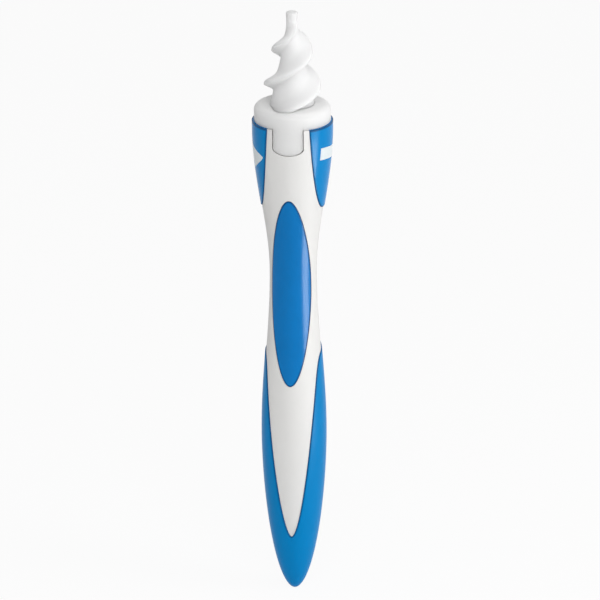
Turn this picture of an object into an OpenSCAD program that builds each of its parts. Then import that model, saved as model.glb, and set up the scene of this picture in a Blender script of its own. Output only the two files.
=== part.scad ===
// Ear wax cleaner: a hand-held handle with a push-fit, soft spiral tip.
//
// Heights named *_h are measured upwards from the tail of the handle. The finished part is then
// moved down by pad_h, so its origin lies on the handle's axis at the middle of the thumb pad.
// -Y is the front, where the thumb pad is, and +Z points along the handle to the tip.

/* [Handle] */
// Length of the handle, from its tail to the rim of the head
handle_len = 138.5; // [132:0.5:150]
// Diameter of the head, over the collar
head_d = 21.8; // [20.4:0.1:24]
// Length of the straight band below the rim
head_straight = 1.5; // [1:0.5:8]
// Diameter of the waist
waist_d = 12.8; // [11:0.1:13.5]
// Height of the waist
waist_h = 95.5; // [90:0.5:102]
// Diameter of the fullest part of the grip, over the boot
grip_d = 18; // [16:0.1:20]
// Height of the fullest part of the grip
grip_h = 48; // [40:1:54]
// Wall of the shells below the overmoulded skins
wall = 1.5; // [1.2:0.1:1.8]

/* [Overmoulded collar and boot] */
// Thickness of the coloured collar and boot
skin_t = 1.2; // [0.9:0.1:1.4]
// How far the collar and boot stand proud of the white shells
proud = 0.3; // [0.1:0.05:0.5]
// Length of the collar, from the rim to the ends of its side lobes
collar_len = 24; // [21:0.5:27]
// How far the collar's lower edge arches up at the back
collar_arch = 6; // [2:0.5:9]
// Width of the white panel that the collar leaves open, at the rim
panel_w = 11.6; // [10.5:0.1:12.5]
// Height of the boot's upper edge at the sides
boot_h = 72.5; // [66:0.5:78]
// How far the boot's upper edge arches up at the back
boot_arch = 8; // [2:0.5:12]
// Height of the point of the white tongue in front
tongue_h = 18.5; // [14:0.5:26]
// Width of the tongue just below the boot's upper edge
tongue_w = 14.4; // [13:0.1:15.2]

/* [Thumb pad] */
// Length of the oval thumb pad
pad_len = 54.2; // [46:0.2:56]
// Width of the thumb pad
pad_w = 10.7; // [8.5:0.1:11.2]
// Height of the middle of the pad
pad_h = 91.3; // [88:0.1:95]
// Thickness of the pad at its edge
pad_t = 1.1; // [0.9:0.1:1.2]
// How far the pad stands proud of the shell
pad_rise = 0.15; // [0.05:0.05:0.4]
// Diameter of the pegs behind the pad
peg_d = 1.8; // [1.4:0.1:2.2]
// Distance between the two pegs
peg_pitch = 30; // [24:1:34]

/* [Direction arrow] */
// Distance from the rim down to the middle of the arrow
arrow_drop = 9.1; // [8:0.1:10.5]
// Angle from the front at which the arrow's bar begins on the right
arrow_from = 51; // [46:1:60]
// Angle from the front at which its head ends on the left
arrow_to = 40; // [36:1:46]
// Width of the arrow's bar
arrow_bar_w = 3.3; // [2.4:0.1:3.8]
// Width of the arrowhead
arrow_head_w = 7; // [5:0.1:8]
// Length of the arrowhead, seen from the side
arrow_head_len = 5.5; // [4.5:0.1:7]
// Depth of the arrow's inlay
arrow_t = 0.5; // [0.3:0.05:0.7]
// How much the arrow's band rises towards the front, in degrees
arrow_tilt = 9.5; // [5:0.5:15]
// How much the arrow's band falls towards its head, in degrees
arrow_lean = 4.5; // [0:0.5:7]

/* [Socket] */
// Bore of the socket
bore_d = 9.4; // [9:0.1:9.8]
// Outside diameter of the socket tube
socket_d = 12; // [11.6:0.1:12.4]
// Depth of the socket tube below the rim
socket_len = 14; // [13.5:0.1:15]
// Diameter of the foot that locks the socket between the shells
foot_d = 14.6; // [13.6:0.1:15.2]
// Thickness of the foot
foot_t = 1.2; // [0.8:0.1:1.6]
// Thickness of the head's top plate
top_t = 2; // [1.2:0.1:2.4]
// Thickness of the shelf under the socket
shelf_t = 1.6; // [1.2:0.1:2.2]

/* [Tip base] */
// Diameter of the round guard flange
flange_d = 20.6; // [18:0.1:21]
// Thickness of the flange
flange_t = 4.5; // [2.6:0.1:5]
// Radius of the flange's top edge
flange_round = 1.1; // [0.5:0.1:1.6]
// Width of the key tab in front
tab_w = 8.2; // [6.5:0.1:9]
// How far the tab reaches below the rim
tab_len = 6.9; // [5:0.1:8]
// Height of the tab's rounded end
tab_bow = 1.8; // [1:0.1:3]
// Thickness of the tab in its middle
tab_t = 2; // [1.4:0.1:2.2]
// Length of the plug
plug_len = 12; // [10:0.1:13]
// Width of the slit that lets the plug's two legs spring
slit_w = 1.2; // [0.8:0.1:1.8]
// Depth of the slit
slit_len = 8; // [5:0.1:9]
// Height of the snap bead above the plug's foot
bead_up = 3; // [2:0.1:5]
// Diameter of the stem inside the soft spiral
stem_d = 3.2; // [2.4:0.1:4]
// Length of the stem above the flange
stem_len = 8; // [5:0.1:10]

/* [Spiral] */
// Length of the spiral above the flange
spiral_len = 25.5; // [22:0.1:30]
// Length of the round finger at its end
finger_len = 3.8; // [3:0.1:6]
// Diameter of the finger
finger_d = 3; // [2.6:0.1:4]
// Diameter of the core at the flange
core_d = 11.7; // [9:0.1:12.4]
// Diameter over the fins at the flange
fin_d = 17.6; // [14:0.1:18.6]
// How much the radius over the fins shrinks for each millimetre of height
fin_taper = 0.22; // [0.15:0.005:0.26]
// Rise of each fin in one turn
fin_pitch = 19.2; // [16:0.1:24]
// Thickness of a fin along the handle, halfway out from the core
fin_t = 2.4; // [1.8:0.1:4]

/* [Fits] */
// Gap between a piece and the pocket that it is moulded or pressed into
seat_gap = 0.02; // [0.01:0.01:0.04]
// Gap round the tip's tab, and under its flange
slide_gap = 0.1; // [0.06:0.01:0.14]
// Radial clearance of the plug in its bore
plug_gap = 0.2; // [0.14:0.01:0.3]
// Radial clearance of a pin or peg in its hole
pin_gap = 0.05; // [0.02:0.01:0.1]

/* [Hidden] */
$fn = 96;

WHITE = [0.90, 0.90, 0.88];
TIP_WHITE = [0.95, 0.95, 0.95];
BLUE = [0.04, 0.50, 0.80];
DEEP_BLUE = [0.02, 0.36, 0.68];

head_r = head_d / 2;
waist_r = waist_d / 2 + proud;
grip_r = grip_d / 2;
head_h = handle_len - head_straight;
collar_h = handle_len - collar_len;
floor_h = handle_len - socket_len;
shelf_h = floor_h - shelf_t;
chamber_top_h = handle_len - top_t;

past_side = 4;                // how far cutting solids run past the handle's side
reach = head_r + past_side;   // past the outside of everything
cut = 0.5;                    // how far a cutting solid overruns a face
band_step = 3;                // height of one band of the handle's curve
band_min = 0.2;               // a band is never lower than this
axis_r = 0.01;                // the least radius of a turned solid
tail_steps = 14;              // bands along the rounded tail
outline_steps = 24;           // points along one side of a curved outline
point_crowd = 1.8;            // above 1, they stand closer together at its pointed end

tail_bulge = 1.8;             // shape of the tail: 2 and 0.5 would be an ellipse
tail_power = 0.515;
head_power = 0.95;            // below 1, the neck widens sooner above the waist
panel_power = 0.46;           // how quickly the white panel flares at the collar's lobes
tongue_bulge = 1.3;           // above 1, the tongue's sides straighten towards its top
tongue_power = 0.6;           // how quickly the tongue widens above its point
tongue_flare = 24;            // how late it flares out to the sides
side_over = 0.05;             // how far those two outlines run past the handle's side

tail_t = 3;                   // solid blue end of the boot below the shells
cavity_h = 11;                // where the hollow of the shells begins
chamber_r = 7.9;              // hollow of the head round the socket
pin_d = 1.6;                  // weld pins of the front shell
pin_len = 2.4;                // how far they reach into the rear shell
boss_d = 3.4;                 // bosses that carry the pins and take them
pin_hs = [24, 58, pad_h, 115];
rib_hs = [36, 47, 69];        // stiffening ribs round the hollow
rib_w = 1;                    // their width along the handle
rib_t = 1;                    // how far they stand out from the wall
boss_sink = wall / 4;         // how deep a boss is sunk into the wall behind it
pin_hole_over = 0.3;          // the pins' holes are deeper than the pins by this much

peg_out = 0.6;                // how far the pad's pegs show inside the hollow
pad_reach = 1;                // how far the band that the pad is cut from runs past its ends

arrow_power = 0.7;            // below 1, the sides of the arrowhead are full
notch_free = 1.3;             // free space behind the key tab, into the hollow of the head

bead_r = 0.12;                // the snap bead's height over the plug
bead_w = 1.2;
groove_t = 0.35;              // depth of the groove that the bead rests in

// ---- The handle's outside curve -------------------------------------------------------------

function ease(t) = (1 - cos(180 * t)) / 2;

// Radius over the coloured skins at height h
function envelope(h) =
    h <= 0 ? 0
    : h < grip_h ? grip_r * pow(1 - pow(1 - h / grip_h, tail_bulge), tail_power)
    : h < waist_h ? grip_r + (waist_r - grip_r) * ease((h - grip_h) / (waist_h - grip_h))
    : h < head_h ? waist_r + (head_r - waist_r) * ease(pow((h - waist_h) / (head_h - waist_h), head_power))
    : head_r;

// Heights at which the curve is drawn between two given ones: close together along the round
// tail, and evenly spaced above it
tail_hs = [for (i = [1:tail_steps]) grip_h * (1 - cos(90 * i / tail_steps))];
upper_hs = [for (h = [grip_h + band_step:band_step:head_h - band_step / 2]) h];
curve_hs = concat([0], tail_hs, upper_hs, [head_h]);
function stations(low, high) =
    concat([low], [for (h = curve_hs) if (h > low + band_min && h < high - band_min) h], [high]);

// A solid of revolution that stays `inset` inside the envelope between two heights
module turned(low, high, inset) {
    hs = stations(low, high);
    rotate_extrude()
        polygon(concat([[0, low]], [for (h = hs) [max(axis_r, envelope(h) - inset), h]], [[0, high]]));
}

// A ring between two insets from the envelope. A negative inset lies outside it
module ring(low, high, outer_inset, inner_inset) {
    hs = stations(low, high);
    n = len(hs) - 1;
    rotate_extrude()
        polygon(concat(
            [for (h = hs) [envelope(h) - outer_inset, h]],
            [for (i = [n:-1:0]) [envelope(hs[i]) - inner_inset, hs[i]]]));
}

// Outlines are drawn in X and height, and run through the front or the rear half
module through_front() rotate([90, 0, 0]) linear_extrude(reach) children();
module through_rear() translate([0, reach, 0]) rotate([90, 0, 0]) linear_extrude(reach) children();

// Outlines drawn in Y and height, which run through the right or the left side
module through_right() rotate([90, 0, 90]) linear_extrude(reach) children();
module through_left() translate([-reach, 0, 0]) rotate([90, 0, 90]) linear_extrude(reach) children();

// Everything is drawn from the tail, then moved to the part's own origin
module from_origin() translate([0, 0, -pad_h]) children();

// ---- Outlines shared by the pieces that meet at them ----------------------------------------

// Half the width of the white front panel at the head
function panel_x(h) =
    let (v = max(0, h - collar_h) / collar_len)
    panel_w / 2 + (envelope(collar_h) + side_over - panel_w / 2) * (1 - pow(v, panel_power));

// What the collar leaves free in front: the panel, and all below the lobes
module panel_outline(grow) {
    low = collar_h - reach;
    hs = [for (i = [0:outline_steps]) collar_h + collar_len * pow(i / outline_steps, point_crowd)];
    side = concat([for (h = hs) [panel_x(h) + grow, h + grow]],
                  [[panel_w / 2 + grow, handle_len + reach]]);
    n = len(side) - 1;
    polygon(concat(
        [[reach, low], [reach, collar_h + grow]], side,
        [for (i = [n:-1:0]) [-side[i][0], side[i][1]]],
        [[-reach, collar_h + grow], [-reach, low]]));
}

// What it leaves free at the back: all below an arch
module collar_arch_outline(grow) {
    r = envelope(collar_h);
    xs = [for (i = [-outline_steps:outline_steps]) r * i / outline_steps];
    polygon(concat(
        [[-reach, collar_h - reach], [-reach, collar_h + grow]],
        [for (x = xs) [x, collar_h + grow + collar_arch * (1 - pow(x / r, 2))]],
        [[reach, collar_h + grow], [reach, collar_h - reach]]));
}

// Half the width of the white tongue
function tongue_x(h) =
    let (v = max(0, h - tongue_h) / (boot_h - tongue_h))
    tongue_w / 2 * pow(1 - pow(1 - v, tongue_bulge), tongue_power)
    + (envelope(boot_h) + side_over - tongue_w / 2) * pow(v, tongue_flare);

// What the boot leaves free in front: the tongue, and all above the boot's edge
module tongue_outline(grow) {
    span = boot_h - tongue_h;
    hs = [for (i = [0:outline_steps]) tongue_h + span * pow(i / outline_steps, point_crowd)];
    side = [for (h = hs) [tongue_x(h), h]];
    n = len(side) - 1;
    translate([0, -grow])
        polygon(concat(
            [for (p = side) [p[0] + (p[0] > 0 ? grow : 0), p[1]]],
            [[reach, boot_h], [reach, boot_h + reach], [-reach, boot_h + reach], [-reach, boot_h]],
            [for (i = [n:-1:1]) [-side[i][0] - grow, side[i][1]]]));
}

// What it leaves free at the back: all above an arch
module boot_arch_outline(grow) {
    r = envelope(boot_h);
    xs = [for (i = [-outline_steps:outline_steps]) r * i / outline_steps];
    translate([0, -grow])
        polygon(concat(
            [[-reach, boot_h + boot_arch + reach], [-reach, boot_h]],
            [for (x = xs) [x, boot_h + boot_arch * (1 - pow(x / r, 2))]],
            [[reach, boot_h], [reach, boot_h + boot_arch + reach]]));
}

// The thumb pad's oval
module pad_outline(grow) {
    steps = 4 * outline_steps;
    polygon([for (i = [0:steps - 1])
        let (a = 360 * i / steps)
        [(pad_w / 2 + grow) * cos(a), pad_h + (pad_len / 2 + grow) * sin(a)]]);
}

// The key tab: straight sides and a bowed lower end
module tab_outline(grow) {
    x = tab_w / 2 + grow;
    bow_h = handle_len - tab_len + tab_bow;
    polygon(concat(
        [[x, handle_len + cut]],
        [for (i = [0:outline_steps])
            let (a = 180 * i / outline_steps)
            [x * cos(a), bow_h - (tab_bow + grow) * sin(a)]],
        [[-x, handle_len + cut]]));
}

// The arrow: a bar from the right, round the back, to a head that points to the front on the left
module arrow_prism(grow) {
    r = envelope(handle_len - arrow_drop);
    tail_y = -r * cos(arrow_from) - grow;
    apex_y = -r * cos(arrow_to) - 2 * grow;
    neck_y = apex_y + arrow_head_len + 3 * grow;
    bar = arrow_bar_w / 2 + grow;
    head = arrow_head_w / 2 + 2 * grow;
    side = [for (i = [0:outline_steps])
        let (v = pow(i / outline_steps, point_crowd))
        [apex_y + (neck_y - apex_y) * v, head * pow(v, arrow_power)]];
    translate([0, 0, handle_len - arrow_drop]) {
        intersection() {
            in_arrow_band() through_right() translate([-reach, -bar]) square([2 * reach, 2 * bar]);
            translate([0, tail_y, -reach]) cube([reach, 2 * reach, 2 * reach]);
        }
        in_arrow_band() {
            translate([cut, 0, 0]) through_left()
                translate([neck_y - cut, -bar]) square([reach - neck_y, 2 * bar]);
            through_left()
                polygon(concat([for (p = side) [p[0], -p[1]]],
                               [for (i = [outline_steps:-1:1]) side[i]]));
        }
    }
}

// The slope of the arrow's band round the head
module in_arrow_band() rotate([-arrow_tilt, -arrow_lean, 0]) children();

// ---- Handle ---------------------------------------------------------------------------------

// The pocket that the collar fills, in the shells
module collar_pocket()
    difference() {
        ring(collar_h - cut, handle_len + cut, -reach, skin_t + seat_gap);
        through_front() panel_outline(-seat_gap);
        through_rear() collar_arch_outline(-seat_gap);
    }

// The pocket that the boot fills
module boot_pocket()
    difference() {
        ring(tail_t - cut, boot_h + boot_arch + cut, -reach, skin_t + seat_gap);
        through_front() tongue_outline(-seat_gap);
        through_rear() boot_arch_outline(-seat_gap);
    }

// The hollow of the handle: a long space below the shelf, and a chamber round the socket
module hollow() {
    difference() {
        turned(cavity_h, shelf_h, skin_t + wall);
        for (h = rib_hs)
            ring(h, h + rib_w, skin_t, skin_t + wall + rib_t);
    }
    translate([0, 0, floor_h])
        cylinder(r = chamber_r, h = chamber_top_h - floor_h);
}

module core() {
    difference() {
        turned(tail_t, handle_len, proud);
        collar_pocket();
        boot_pocket();
        hollow();
        translate([0, 0, handle_len - top_t - cut])
            cylinder(d = socket_d + 2 * seat_gap, h = top_t + 2 * cut);
    }
}

module half(front) {
    intersection() {
        core();
        translate([-reach, front ? -reach : 0, 0])
            cube([2 * reach, reach, handle_len]);
    }
}

// The hollow's radius at height h
function hollow_r(h) = envelope(h) - skin_t - wall;

// Ends of the band that the pad and its pocket are cut from
pad_low_h = pad_h - pad_len / 2 - pad_reach;
pad_high_h = pad_h + pad_len / 2 + pad_reach;

// The tab's flat back, and the back of its notch, in front of the axis
tab_back_y = flange_d / 2 - tab_t;
notch_y = tab_back_y - notch_free;

module front_shell() color(WHITE) from_origin() {
    difference() {
        union() {
            half(true);
            for (h = pin_hs)
                translate([0, 0, h]) rotate([90, 0, 0])
                    cylinder(d = boss_d, h = hollow_r(h) + boss_sink);
        }
        // Pocket of the thumb pad, and the holes of its pegs
        intersection() {
            ring(pad_low_h, pad_high_h, -reach, proud + pad_t + seat_gap);
            through_front() pad_outline(seat_gap);
        }
        for (side = [-1, 1])
            translate([0, 0, pad_h + side * peg_pitch / 2]) rotate([90, 0, 0])
                cylinder(d = peg_d + 2 * pin_gap, h = reach);
        // Notch of the tip's key tab
        translate([0, -notch_y, 0])
            through_front() tab_outline(slide_gap);
    }
    for (h = pin_hs)
        translate([0, pin_len, h]) rotate([90, 0, 0])
            cylinder(d = pin_d, h = pin_len + cut);
}

module rear_shell() color(WHITE) from_origin()
    difference() {
        union() {
            half(false);
            for (h = pin_hs)
                translate([0, 0, h]) rotate([-90, 0, 0])
                    cylinder(d = boss_d, h = hollow_r(h) + boss_sink);
        }
        for (h = pin_hs)
            translate([0, -cut, h]) rotate([-90, 0, 0])
                cylinder(d = pin_d + 2 * pin_gap, h = pin_len + pin_hole_over + cut);
    }

module head_collar() color(BLUE) from_origin()
    difference() {
        ring(collar_h - cut, handle_len, 0, skin_t);
        through_front() panel_outline(0);
        through_rear() collar_arch_outline(0);
        intersection() {
            ring(collar_h, handle_len, -cut, arrow_t + seat_gap);
            arrow_prism(seat_gap);
        }
    }

module direction_arrow() color(TIP_WHITE) from_origin()
    intersection() {
        ring(collar_h, handle_len, 0, arrow_t);
        arrow_prism(0);
    }

module lower_grip() color(BLUE) from_origin()
    difference() {
        turned(0, boot_h + boot_arch + cut, 0);
        turned(tail_t - seat_gap, boot_h + boot_arch + 2 * cut, skin_t);
        through_front() tongue_outline(0);
        through_rear() boot_arch_outline(0);
    }

module thumb_pad() color(DEEP_BLUE) from_origin() {
    intersection() {
        ring(pad_low_h, pad_high_h, proud - pad_rise, proud + pad_t);
        through_front() pad_outline(0);
    }
    for (side = [-1, 1]) {
        h = pad_h + side * peg_pitch / 2;
        inner = hollow_r(h) - peg_out;
        translate([0, -inner, h]) rotate([90, 0, 0])
            cylinder(d = peg_d, h = envelope(h) - proud - pad_t / 2 - inner);
    }
}

// ---- Socket and tip -------------------------------------------------------------------------

plug_r = bore_d / 2 - plug_gap;
bead_h = handle_len - plug_len + bead_up;
flange_h = handle_len + slide_gap;
flange_top_h = flange_h + flange_t;

module tip_socket() color(WHITE) from_origin()
    translate([0, 0, floor_h + seat_gap])
        difference() {
            union() {
                cylinder(d = socket_d, h = socket_len - seat_gap);
                cylinder(d = foot_d, h = foot_t);
            }
            translate([0, 0, -cut])
                cylinder(d = bore_d, h = socket_len + 2 * cut);
            translate([0, 0, bead_h - floor_h - bead_w])
                cylinder(d = bore_d + 2 * groove_t, h = 2 * bead_w);
        }

module flange()
    rotate_extrude() {
        square([flange_d / 2, flange_t - flange_round]);
        square([flange_d / 2 - flange_round, flange_t]);
        translate([flange_d / 2 - flange_round, flange_t - flange_round])
            circle(flange_round);
    }

module tip_base() color(TIP_WHITE) from_origin() {
    translate([0, 0, flange_h])
        flange();
    intersection() {
        translate([0, -tab_back_y, 0])
            through_front() tab_outline(0);
        cylinder(d = flange_d, h = flange_h + cut);
    }
    difference() {
        union() {
            translate([0, 0, handle_len - plug_len])
                cylinder(r = plug_r, h = plug_len + cut);
            translate([0, 0, bead_h - bead_w / 2])
                cylinder(r = plug_r + bead_r, h = bead_w);
        }
        translate([-plug_r - cut, -slit_w / 2, handle_len - plug_len - cut])
            cube([2 * (plug_r + cut), slit_w, slit_len + cut]);
    }
    translate([0, 0, flange_top_h - cut])
        cylinder(d = stem_d, h = stem_len + cut);
}

// The spiral is a stack of rings: a round core that tapers into the finger, with two fins that
// wind up it as a right-handed screw and fade out below the finger
cone_len = spiral_len - finger_len;
core_power = 1.2;             // how the core's taper bends
fin_fade = 0.84;              // share of the cone at which the fins begin to fade
fin_fade_len = 0.25;          // share of the cone over which they fade
fin_start = -100;             // where one fin stands at the flange, in degrees from +X
fin_lean = 0.3;               // how much gentler a fin's upper side is than its lower side
fin_square = 4;               // above 2, a fin has full sides and a round edge
finger_flare = 0.08;          // the finger widens by this share at its end
ring_pts = 60;
ring_step = 0.5;
end_round = 0.35;

function core_r(h) =
    finger_d / 2 + (core_d - finger_d) / 2 * pow(max(0, 1 - h / cone_len), core_power)
    + finger_d / 2 * finger_flare * pow(max(0, h - cone_len) / finger_len, 2);
function fin_out(h) =
    max(0, fin_d / 2 - fin_taper * h - core_r(h))
    * (1 - ease(min(1, max(0, (h / cone_len - fin_fade) / fin_fade_len))));
// A fin's height over the core, from 1 on its edge to 0 between the fins, at a turn from its edge
function crest(turn) =
    let (half_width = sin(180 * fin_t / fin_pitch) * (1 - fin_lean * sin(2 * turn)))
    1 / (1 + pow(abs(sin(turn)) / half_width, fin_square));
function spiral_r(h, a) = core_r(h) + fin_out(h) * crest(a - fin_start - 360 * h / fin_pitch);

function circle_ring(r, h) =
    [for (i = [0:ring_pts - 1]) let (a = 360 * i / ring_pts) [r * cos(a), r * sin(a), h]];
function spiral_ring(h) =
    [for (i = [0:ring_pts - 1])
        let (a = 360 * i / ring_pts, r = spiral_r(h, a)) [r * cos(a), r * sin(a), h]];

module spiral_tip() color(TIP_WHITE) from_origin() {
    bore_r = (stem_d / 2 + pin_gap) / cos(180 / ring_pts);
    bore_top = stem_len + pin_gap;
    side_top = spiral_len - end_round;
    n_side = ceil(side_top / ring_step);
    rings = concat(
        [circle_ring(bore_r, bore_top), circle_ring(bore_r, 0)],
        [for (i = [0:n_side]) spiral_ring(side_top * i / n_side)],
        [circle_ring(core_r(spiral_len) - end_round, spiral_len)]);
    last = len(rings) - 1;
    points = [for (r = rings) each r];
    walls = [for (j = [0:last - 1], i = [0:ring_pts - 1])
        let (k = (i + 1) % ring_pts, a = j * ring_pts, b = a + ring_pts)
        each [[a + i, b + i, b + k], [a + i, b + k, a + k]]];
    bore_end = [for (i = [0:ring_pts - 1]) i];
    tip_end = [for (i = [ring_pts - 1:-1:0]) last * ring_pts + i];
    translate([0, 0, flange_top_h + seat_gap])
        polyhedron(points = points, faces = concat(walls, [bore_end, tip_end]), convexity = 6);
}

front_shell();
rear_shell();
head_collar();
lower_grip();
thumb_pad();
direction_arrow();
tip_socket();
tip_base();
spiral_tip();
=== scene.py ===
"""Looks of the ear wax cleaner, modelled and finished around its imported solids.

The handle stands on its tail along +Z, with the thumb pad in front, towards -Y. Heights are world
heights in metres. Angles round the handle start in front and grow towards +X.
"""

import math

import bmesh
import bpy
import numpy as np
from mathutils import Matrix, Quaternion, Vector


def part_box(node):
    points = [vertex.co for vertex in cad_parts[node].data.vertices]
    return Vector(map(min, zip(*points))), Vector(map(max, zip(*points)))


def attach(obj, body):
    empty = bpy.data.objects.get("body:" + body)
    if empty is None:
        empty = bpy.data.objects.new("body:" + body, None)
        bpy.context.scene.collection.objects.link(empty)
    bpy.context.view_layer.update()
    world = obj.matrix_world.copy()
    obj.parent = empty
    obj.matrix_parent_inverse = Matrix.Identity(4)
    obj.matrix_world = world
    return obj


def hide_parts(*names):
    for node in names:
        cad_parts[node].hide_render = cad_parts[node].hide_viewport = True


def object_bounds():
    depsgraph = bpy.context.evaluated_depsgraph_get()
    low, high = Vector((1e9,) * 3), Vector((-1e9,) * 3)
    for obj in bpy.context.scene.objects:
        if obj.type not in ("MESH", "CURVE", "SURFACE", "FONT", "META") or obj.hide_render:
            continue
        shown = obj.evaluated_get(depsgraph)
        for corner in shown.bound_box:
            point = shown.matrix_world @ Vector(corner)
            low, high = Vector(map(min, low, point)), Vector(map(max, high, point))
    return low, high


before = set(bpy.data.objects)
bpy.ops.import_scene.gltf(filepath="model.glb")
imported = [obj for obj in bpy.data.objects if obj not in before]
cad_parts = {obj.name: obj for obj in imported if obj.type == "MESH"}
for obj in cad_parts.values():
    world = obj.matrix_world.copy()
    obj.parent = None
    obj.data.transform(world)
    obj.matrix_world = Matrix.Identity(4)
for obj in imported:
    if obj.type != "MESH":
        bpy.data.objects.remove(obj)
solid_low, solid_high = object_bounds()

MM = 0.001


# ---- Sizes, from the solids where they show them ---------------------------------------------

COLLAR_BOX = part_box("head_collar")
BOOT_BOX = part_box("lower_grip")
PAD_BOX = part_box("thumb_pad")
TIP_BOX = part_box("tip_base")
SPIRAL_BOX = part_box("spiral_tip")
SOCKET_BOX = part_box("tip_socket")

TAIL = BOOT_BOX[0].z
RIM = COLLAR_BOX[1].z
HEAD_R = COLLAR_BOX[1].x
GRIP_R = BOOT_BOX[1].x
WAIST_R = 6.7 * MM
GRIP_TOP = TAIL + 48 * MM          # where the grip is fullest
WAIST = TAIL + 95.5 * MM
HEAD_FOOT = RIM - 1.5 * MM         # the straight band of the head begins here
TAIL_BULGE, TAIL_POWER = 1.8, 0.515
HEAD_POWER = 0.95

PROUD = 0.3 * MM                   # the coloured skins over the white shells
SKIN_T = 1.2 * MM
WALL = 1.5 * MM
SHELL_FOOT = TAIL + 3 * MM         # the white shells end here, inside the boot
HOLLOW_FOOT = TAIL + 11 * MM
SEAT_GAP = 0.02 * MM

COLLAR_FOOT = COLLAR_BOX[0].z
COLLAR_ARCH = 6 * MM
PANEL_HALF = 5.8 * MM             # half the white panel's width at the rim
PANEL_POWER = 0.46
BOOT_ARCH = 8 * MM
BOOT_SIDE = BOOT_BOX[1].z - BOOT_ARCH
TONGUE_POINT = TAIL + 18.5 * MM
TONGUE_HALF = 7.2 * MM
TONGUE_BULGE, TONGUE_POWER, TONGUE_FLARE = 1.3, 0.6, 24
SIDE_OVER = 0.05 * MM              # how far both outlines run past the handle's side

PAD_MIDDLE = (PAD_BOX[0].z + PAD_BOX[1].z) / 2
PAD_HALF_LEN = (PAD_BOX[1].z - PAD_BOX[0].z) / 2
PAD_HALF_W = PAD_BOX[1].x
PAD_RISE = 0.15 * MM
PAD_T = 1.1 * MM
PAD_ROUND = 0.28 * MM
PAD_GAP = 0.05 * MM
PAD_CLEAR = 0.5 * MM               # the pad's sides stay this far from the line between the shells

FLANGE_R = TIP_BOX[1].x
FLANGE_FOOT = RIM + 0.1 * MM
FLANGE_TOP = SPIRAL_BOX[0].z - SEAT_GAP
FLANGE_ROUND = 1.7 * MM
TAB_HALF = 4.1 * MM
TAB_FOOT = RIM - 6.9 * MM
TAB_BACK = FLANGE_R - 2 * MM       # the tab's flat back lies this far in front of the axis
TAB_BOW = 1.8 * MM                 # height of the tab's rounded end
TAB_GAP = 0.14 * MM
NOTCH_BACK = TAB_BACK - 1.3 * MM

PLUG_FOOT = TIP_BOX[0].z
PLUG_R = 4.5 * MM
BEAD_UP, BEAD_R, BEAD_W = 3 * MM, 0.12 * MM, 1.2 * MM
SLIT_W, SLIT_LEN = 1.2 * MM, 8 * MM
STEM_R, STEM_TOP = 1.6 * MM, TIP_BOX[1].z
BORE_R = 4.7 * MM
SOCKET_R = 6 * MM
SOCKET_FOOT_R, SOCKET_FOOT_T = 7.3 * MM, 1.2 * MM
CHAMBER_R = 7.9 * MM
TOP_T = 2 * MM
SHELF_T = 1.6 * MM

ARROW_Z = RIM - 9.1 * MM
ARROW_FROM, ARROW_TO = 51, 40      # degrees from the front, on the right and on the left
ARROW_TILT, ARROW_LEAN = 9.5, 4.5
ARROW_BAR, ARROW_HEAD, ARROW_LEN = 3.3 * MM, 7 * MM, 5.5 * MM
ARROW_POWER = 0.7
ARROW_T = 0.5 * MM

# Distances from an edge at which its rounding is drawn
EDGE_STEPS = np.array([0, 0.015, 0.04, 0.08, 0.13, 0.19, 0.25, 0.3, 0.42, 0.65, 1.0]) * MM


# ---- The handle's surface ---------------------------------------------------------------------

def ease(t):
    return (1 - np.cos(np.pi * np.clip(t, 0, 1))) / 2


def envelope(z):
    """Radius over the coloured skins at height z."""
    z = np.asarray(z, float)
    up_tail = np.clip((z - TAIL) / (GRIP_TOP - TAIL), 0, 1)
    tail = GRIP_R * (1 - (1 - up_tail) ** TAIL_BULGE) ** TAIL_POWER
    grip = GRIP_R + (WAIST_R - GRIP_R) * ease((z - GRIP_TOP) / (WAIST - GRIP_TOP))
    up_head = np.clip((z - WAIST) / (HEAD_FOOT - WAIST), 0, 1)
    head = WAIST_R + (HEAD_R - WAIST_R) * ease(up_head ** HEAD_POWER)
    return np.where(z < GRIP_TOP, tail, np.where(z < WAIST, grip, head))


def slope(z, step=0.05 * MM):
    return (envelope(z + step) - envelope(z - step)) / (2 * step)


def round_handle(angle, z, radius):
    """Points at an angle from the front, a height and a distance from the axis."""
    angle, z, radius = np.broadcast_arrays(angle, z, radius)
    return np.stack([radius * np.sin(angle), -radius * np.cos(angle), z], axis=-1)


def roll_off(distance, radius):
    """How far a rounded edge has dropped at a distance from that edge."""
    inside = np.clip(radius - distance, 0, radius)
    return radius - np.sqrt(radius ** 2 - inside ** 2)


def evenly(curve, count):
    """The same curve of (angle, height) points, spaced evenly along the handle's surface."""
    angle, z = curve.T
    arc = np.hypot(np.diff(angle) * (envelope(z[1:]) + envelope(z[:-1])) / 2, np.diff(z))
    along = np.concatenate([[0], np.cumsum(arc)])
    at = np.linspace(0, along[-1], count)
    return np.stack([np.interp(at, along, angle), np.interp(at, along, z)], axis=-1)


def offset(curve, distance, closed):
    """The curve moved sideways over the handle's surface, to the left of its direction."""
    angle, z = curve.T
    if closed:
        turn = 2 * np.pi
        angle_rise = (np.roll(angle, -1) - np.roll(angle, 1) + np.pi) % turn - np.pi
        z_rise = np.roll(z, -1) - np.roll(z, 1)
    else:
        angle_rise, z_rise = np.gradient(angle), np.gradient(z)
    r, stretch = envelope(z), np.sqrt(1 + slope(z) ** 2)
    across, up = angle_rise * r, z_rise * stretch
    length = np.hypot(across, up)
    return np.stack([angle - up / length * distance / r,
                     z + across / length * distance / stretch], axis=-1)


# ---- Edges of the coloured skins --------------------------------------------------------------

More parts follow.
